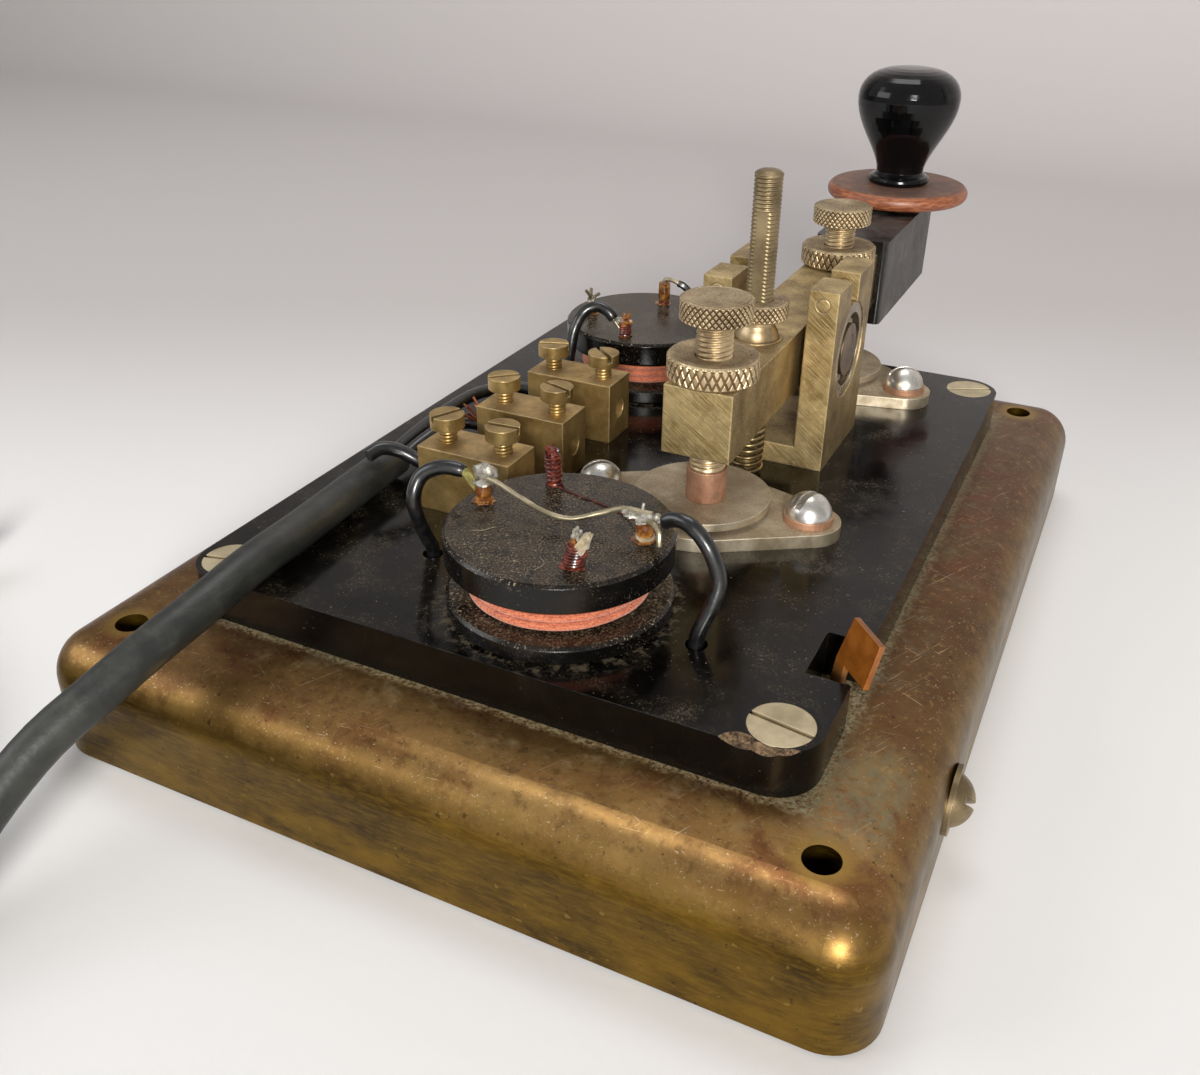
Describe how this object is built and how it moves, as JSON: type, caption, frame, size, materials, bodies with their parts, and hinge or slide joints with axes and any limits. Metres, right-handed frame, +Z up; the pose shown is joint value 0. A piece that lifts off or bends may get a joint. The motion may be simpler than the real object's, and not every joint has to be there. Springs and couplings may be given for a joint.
{
  "type": "telegraph key",
  "caption": "Straight telegraph key with a ball-race lever, adjustable contacts, a tension spring, choke coils, terminal blocks and a rubber cable on a hollow brass base.",
  "frame": {"origin": "Centre of the base's four mounting holes, at the level of the surface that the base stands on.", "axes": "+Z is up. +Y runs along the lever from its knob to its rear contact. +X is the operator's right, where the coils' leads and the terminal blocks are."},
  "size_m": [0.2416, 0.3719, 0.1034],
  "materials": {
    "brass": "aged brushed brass",
    "pan_brass": "brown patinated brass",
    "knurled_brass": "knurled, worn plating over brass",
    "nickel": "worn nickel plating over brass",
    "steel": "plain steel",
    "copper": "dull copper",
    "ebonite": "polished black ebonite",
    "red_ebonite": "red-brown ebonite",
    "amber": "varnished sheet",
    "silk": "cotton-covered wire",
    "rubber": "tough rubber sheath",
    "sleeve": "black sleeving",
    "tin": "tinned wire"
  },
  "bodies": {
    "base": {"base_pan": "pan_brass", "ebonite_plate": "ebonite", "plate_screws": "nickel", "side_washer": "nickel", "side_screw": "nickel", "edge_tab": "amber", "trunnion": "brass", "trunnion_screws": "steel", "outer_races": "steel", "bearing_balls": "steel", "clamp_screws": "brass", "rear_contact_plate": "nickel", "front_contact_plate": "nickel", "rear_contact_disc": "nickel", "front_contact_disc": "nickel", "contact_plate_washers": "copper", "contact_plate_screws": "steel", "spring_anchor": "brass", "tension_spring": "steel", "terminal_block_rear": "brass", "terminal_block_middle": "brass", "terminal_block_front": "brass", "terminal_screws": "brass", "terminal_fixing_screws": "steel", "rear_coil_bobbin": "ebonite", "rear_coil_winding": "silk", "rear_coil_pegs": "copper", "front_coil_bobbin": "ebonite", "front_coil_winding": "silk", "front_coil_pegs": "copper", "coil_fixing_screws": "steel", "rear_coil_link": "tin", "rear_coil_lead_left": "sleeve", "rear_coil_lead_right": "sleeve", "front_coil_lead": "sleeve", "panel_wires": "sleeve", "cable": "rubber", "cable_cores": "sleeve", "cable_coil": "rubber", "cable_tie": "sleeve", "plug_body": "ebonite", "plug_pin": "brass"},
    "lever": {"lever_bar": "brass", "lever_axle": "steel", "inner_races": "steel", "handle_block": "ebonite", "handle_screws": "steel", "knob_skirt": "red_ebonite", "knob": "ebonite", "knob_bolt": "steel", "tension_seat": "brass"},
    "rear_tip": {"rear_contact_tip": "copper"},
    "rear_screw": {"rear_contact_screw": "knurled_brass"},
    "rear_lock": {"rear_lock_nut": "knurled_brass"},
    "front_tip": {"front_contact_tip": "copper"},
    "front_screw": {"front_contact_screw": "knurled_brass"},
    "front_lock": {"front_lock_nut": "knurled_brass"},
    "tension_nut": {"tension_nut": "knurled_brass"},
    "tension_rod": {"tension_rod": "brass"}
  },
  "joints": [
    {"name": "lever_rock", "type": "hinge", "parent": "base", "child": "lever", "pos_m": [-0.0198, -0.0275, 0.057], "axis": [1, 0, 0], "range_deg": [0, 1.6], "stiffness_Nm_per_rad": 2, "springref_deg": -5.73, "deforming": ["tension_spring"]},
    {"name": "rear_tip_rise", "type": "slide", "parent": "lever", "child": "rear_tip", "axis": [0, 0, 1], "range_m": [0, 0.0015]},
    {"name": "rear_screw_turn", "type": "hinge", "parent": "rear_tip", "child": "rear_screw", "pos_m": [-0.0198, 0.0182, 0.0756], "axis": [0, 0, 1], "range_deg": [0, 540]},
    {"name": "rear_lock_turn", "type": "hinge", "parent": "lever", "child": "rear_lock", "pos_m": [-0.0198, 0.0182, 0.064], "axis": [0, 0, 1], "range_deg": [0, 180]},
    {"name": "front_tip_rise", "type": "slide", "parent": "lever", "child": "front_tip", "axis": [0, 0, 1], "range_m": [0, 0.0015]},
    {"name": "front_screw_turn", "type": "hinge", "parent": "front_tip", "child": "front_screw", "pos_m": [-0.0198, -0.067, 0.0756], "axis": [0, 0, 1], "range_deg": [0, 540]},
    {"name": "front_lock_turn", "type": "hinge", "parent": "lever", "child": "front_lock", "pos_m": [-0.0198, -0.067, 0.064], "axis": [0, 0, 1], "range_deg": [0, 180]},
    {"name": "tension_nut_turn", "type": "hinge", "parent": "lever", "child": "tension_nut", "pos_m": [-0.0198, -0.0069, 0.064], "axis": [0, 0, 1], "range_deg": [-1080, 0]},
    {"name": "tension_rod_rise", "type": "slide", "parent": "lever", "child": "tension_rod", "axis": [0, 0, 1], "range_m": [0, 0.0024], "deforming": ["tension_spring"]}
  ],
  "couplings": [
    {"joint": "rear_screw_turn", "follows": "rear_tip_rise", "rad_per_m": 6283.2},
    {"joint": "front_screw_turn", "follows": "front_tip_rise", "rad_per_m": 6283.2},
    {"joint": "tension_nut_turn", "follows": "tension_rod_rise", "rad_per_m": -7854}
  ]
}
